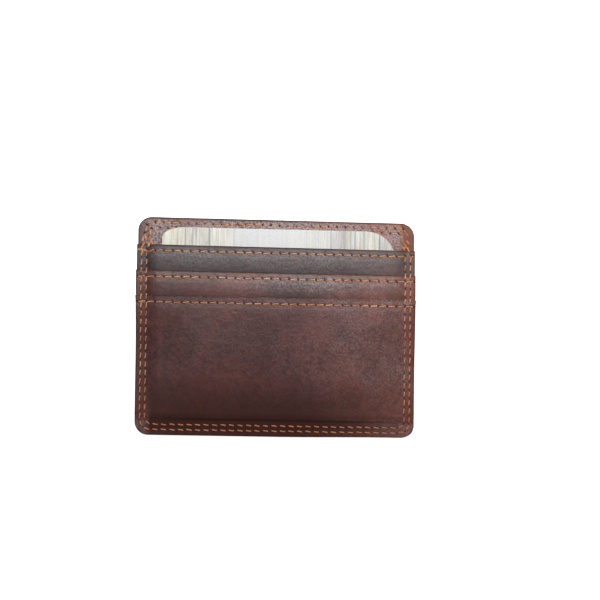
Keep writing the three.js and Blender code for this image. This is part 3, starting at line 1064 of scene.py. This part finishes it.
def build_back_panels():
    seams = [ROWS["seam_outer_bobbin"], ROWS["seam_inner_bobbin"]]
    bands = [ROWS["back_band_outer"], ROWS["back_band_inner"]]

    def panel_levels(x, y):
        low = BACK_LOW[2] + drawn_in(x, y)
        depth, dark = dents(x, y, bands + seams)
        return low + depth, low + LEATHER, dark

    def pocket_levels(x, y):
        low = POCKET_LOW[2] + drawn_in(x, y)
        depth, dark = dents(x, y, [ROWS["back_pocket_mouth"]] + seams)
        swell = UNEVEN * (1 + waves(x, y, 21, 16)) * smooth(48, 44, np.abs(x))
        return low + depth + swell, low + LEATHER, dark

    outline = panel_outline(BACK_LOW, BACK_HIGH, CORNER, CORNER)
    sheet_piece(
        "back_panel", outline, TOP_BAND, panel_levels, leather["back"], "leather",
        ["back_pocket_panel_sewn"], coarse=HIDDEN_STEP,
    )
    outline = panel_outline(POCKET_LOW, POCKET_HIGH, CORNER, SQUARE)
    fine = [(MOUTH_BACK - MOUTH_BAND, MOUTH_BACK), (BOTTOM, BOTTOM + BACK_FOOT_BAND)]
    sheet_piece("back_pocket_panel", outline, fine, pocket_levels, leather["back"], "leather", [])


def build_lining(node, low_level, low, high, radius, step, rests_on):
    def levels(x, y):
        under = low_level(x, y)
        return under, under + CLOTH, 0 * x

    outline = panel_outline(low, high, radius, radius)
    sheet_piece(
        node, outline, [], levels, cloth, "lining", [rests_on], radius=CLOTH_RADIUS, coarse=step
    )


def build_linings():
    """The two walls of the cash pocket, and the cloth below each strip."""
    front_low, front_high = node_box("front_lining")
    back_low, back_high = node_box("back_lining")

    def front_wall(x, y):
        return front_low[2] - drawn_in(x, y)

    def back_wall(x, y):
        return back_low[2] + drawn_in(x, y)

    for node, low_level, low, high, rests_on in (
        ("front_lining", front_wall, front_low, front_high, "back_lining_sewn"),
        ("back_lining", back_wall, back_low, back_high, "back_panel_sewn"),
    ):
        build_lining(node, low_level, low, high, CORNER - 0.5, CLOTH_STEPS[0], rests_on)
    for node, low_level, low, high in (
        ("pocket_a_lining", lining_a_low, LINING_A_LOW, LINING_A_HIGH),
        ("pocket_b_lining", lining_b_low, LINING_B_LOW, LINING_B_HIGH),
    ):
        build_lining(node, low_level, low, high, SQUARE, CLOTH_STEPS[1], "front_panel_sewn")


# How deep the middle of a stitch lies under the surface.
FRONT_SINK = 0.05
BACK_SINK = THREAD_RADIUS
MOUTH_SINK = 0.03  # more, in a row below a mouth
UNDER_CARD = 0.11  # more, where the card presses on the row


def build_threads():
    """Each row of stitches, on the front or the back."""
    for name, row in ROWS.items():
        on_back = name.endswith("bobbin") or name.startswith("back")
        surface = back_surface if on_back else front_surface
        facing = -1 if on_back else 1
        sink = BACK_SINK if on_back else FRONT_SINK
        if name.endswith("mouth"):
            sink += MOUTH_SINK
        if name == "front_band_inner":
            sink += UNDER_CARD
        piece = thread_row(f"{name}_stitches", row, surface, facing, sink, thread)
        cover(f"{name}_thread")
    for node in ("pocket_a_foot_thread", "pocket_b_foot_thread"):
        carried = bpy.data.objects[node]
        carried.data.materials.clear()
        carried.data.materials.append(thread)


# The card's corners: the radius of each across and down.
CARD_BOTTOM_CORNER = (3.18, 3.18)
CARD_TOP_LEFT = (8.5, 4.0)
CARD_TOP_RIGHT = (11.0, 9.8)
CARD_CORNER_POINTS = 24
CARD_EDGE_RADIUS = 0.12
CARD_EDGE_TURNS = (0, 30, 60, 90)  # the points round its edge, in degrees
CARD_LEAN = -0.013  # the card stands a little askew in its pocket: its tilt in radians
CARD_DROP = 0.35  # and this much low
CARD_MIDDLE = (CARD_LOW[0] + CARD_HIGH[0]) / 2


def card_outline(inset):
    """The card's edge, moved in by inset."""
    left, right = CARD_LOW[0], CARD_HIGH[0]
    low, high = CARD_LOW[1], CARD_HIGH[1]
    corners = [
        (right, low, CARD_BOTTOM_CORNER, -1, 1, -90),
        (right, high, CARD_TOP_RIGHT, -1, -1, 0),
        (left, high, CARD_TOP_LEFT, 1, -1, 90),
        (left, low, CARD_BOTTOM_CORNER, 1, 1, 180),
    ]
    points = []
    for x, y, (rx, ry), inward_x, inward_y, start in corners:
        for t in np.radians(np.linspace(start, start + 90, CARD_CORNER_POINTS)):
            px = x + inward_x * rx + (rx - inset) * math.cos(t)
            py = y + inward_y * ry + (ry - inset) * math.sin(t)
            points.append((px, py))
    return np.array(points)


def build_card():
    radius = CARD_EDGE_RADIUS
    bottom, top = CARD_LOW[2], CARD_HIGH[2]
    turns = np.radians(CARD_EDGE_TURNS)
    profile = [(radius * (1 - math.cos(t)), top - radius + radius * math.sin(t)) for t in turns]
    profile = [(i, bottom + top - z) for i, z in reversed(profile)] + profile
    rings = []
    for inset, z in profile:
        ring = card_outline(inset)
        across, up = ring[:, 0] - CARD_MIDDLE, ring[:, 1] - CARD_HIGH[1]
        lean_x = ring[:, 0] - CARD_LEAN * up
        lean_y = ring[:, 1] + CARD_LEAN * across - CARD_DROP
        rings.append(np.column_stack([lean_x, lean_y, np.full(len(ring), z)]))
    count = len(rings[0])
    faces = []
    for r in range(len(rings) - 1):
        for k in range(count):
            here, near = r * count + k, r * count + (k + 1) % count
            faces.append((here, near, near + count, here + count))
    mesh = bpy.data.meshes.new("printed_card")
    last = (len(rings) - 1) * count
    faces.append(tuple(reversed(range(count))))
    faces.append(tuple(range(last, last + count)))
    mesh.from_pydata((np.concatenate(rings) * MM).tolist(), [], faces)
    mesh.materials.append(card_material())
    smooth_faces = [len(polygon.vertices) == 4 for polygon in mesh.polygons]
    mesh.polygons.foreach_set("use_smooth", smooth_faces)
    piece = bpy.data.objects.new("printed_card", mesh)
    bpy.context.scene.collection.objects.link(piece)
    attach(piece, "card")
    cover("insert_card")


# ---- Stage ----

VIEW_WIDTH = 220.0  # millimetres across the picture, at the wallet's front
SENSOR = 36
# The rest of this section is in metres and watts.
FRONT_HEIGHT = 0.005  # where the wallet's front is
CAMERA_HEIGHT = 0.75  # above it
CAMERA_PLACE = (0.0090, 0.0104)
CAMERA_TURN = 0.65  # degrees
FLOOR_HEIGHT = -0.0002
# Each light's place, what it points at, its size and its power.
LIGHTS = {
    "top_softbox": ((0.0, 0.14, 0.30), (0.0, 0.14, 0.0), (0.34, 0.24), 0.27),
    "near_softbox": ((0.012, 0.095, 0.15), (0.01, 0.01, 0.0), (0.29, 0.07), 0.36),
    "right_softbox": ((0.28, 0.08, 0.30), (0.0, 0.0, 0.0), (0.20, 0.30), 0.055),
}
HORIZON_LIGHT, UPPER_LIGHT = 0.45, 0.02
UPPER_FROM = 0.7  # the height in the sky, of 1, above which only the upper light is left
SKY = (0.9, 0.95, 1, 1)


def build_stage():
    bpy.ops.mesh.primitive_plane_add(size=4, location=(0, 0, FLOOR_HEIGHT))
    floor = bpy.context.object
    floor.name = "floor"
    floor.data.materials.append(plain_floor_material())

    camera_data = bpy.data.cameras.new("camera")
    camera_data.sensor_width = SENSOR
    camera_data.lens = SENSOR * CAMERA_HEIGHT / (VIEW_WIDTH * MM)
    camera = bpy.data.objects.new("camera", camera_data)
    camera.location = (*CAMERA_PLACE, FRONT_HEIGHT + CAMERA_HEIGHT)
    camera.rotation_euler = (0, 0, math.radians(CAMERA_TURN))
    bpy.context.scene.collection.objects.link(camera)
    bpy.context.scene.camera = camera

    build_world()
    bpy.context.scene.view_settings.view_transform = "Standard"
    for name, (place, target, size, power) in LIGHTS.items():
        add_light(name, place, target, size, power)


def build_world():
    """Soft light from round the horizon, and nearly none from above."""
    world = bpy.data.worlds.new("soft_studio")
    world.use_nodes = True
    nodes, links = world.node_tree.nodes, world.node_tree.links
    direction = nodes.new("ShaderNodeTexCoord")
    split = nodes.new("ShaderNodeSeparateXYZ")
    height = nodes.new("ShaderNodeMapRange")
    height.inputs["From Min"].default_value = 0.0
    height.inputs["From Max"].default_value = UPPER_FROM
    height.inputs["To Min"].default_value = HORIZON_LIGHT
    height.inputs["To Max"].default_value = UPPER_LIGHT
    links.new(direction.outputs["Generated"], split.inputs[0])
    links.new(split.outputs["Z"], height.inputs["Value"])
    links.new(height.outputs[0], nodes["Background"].inputs["Strength"])
    nodes["Background"].inputs["Color"].default_value = SKY
    bpy.context.scene.world = world


def add_light(name, place, target, size, power):
    data = bpy.data.lights.new(name, "AREA")
    data.shape = "RECTANGLE"
    data.size, data.size_y = size
    data.energy = power
    light = bpy.data.objects.new(name, data)
    light.location = place
    aim = np.array(target) - np.array(place)
    light.rotation_euler = (
        math.acos(-aim[2] / np.linalg.norm(aim)),
        0,
        math.atan2(-aim[0], aim[1]),
    )
    light.visible_camera = False
    bpy.context.scene.collection.objects.link(light)


build_stage()
build_front_panel()
edge_rows = [ROWS["seam_outer_needle"], ROWS["seam_inner_needle"]]
build_strip(
    "pocket_a_strip", strip_a_low, strip_a_top, STRIP_A_LOW, STRIP_A_HIGH,
    [ROWS["pocket_a_mouth"]] + edge_rows, leather["a"], wax_sheen_a,
)
build_strip(
    "pocket_b_strip", strip_b_low, strip_b_top, STRIP_B_LOW, STRIP_B_HIGH,
    [ROWS["pocket_b_mouth"]] + edge_rows, leather["b"], wax_sheen_b,
)
build_panel_c(edge_rows)
build_back_panels()
build_linings()
build_threads()
build_card()
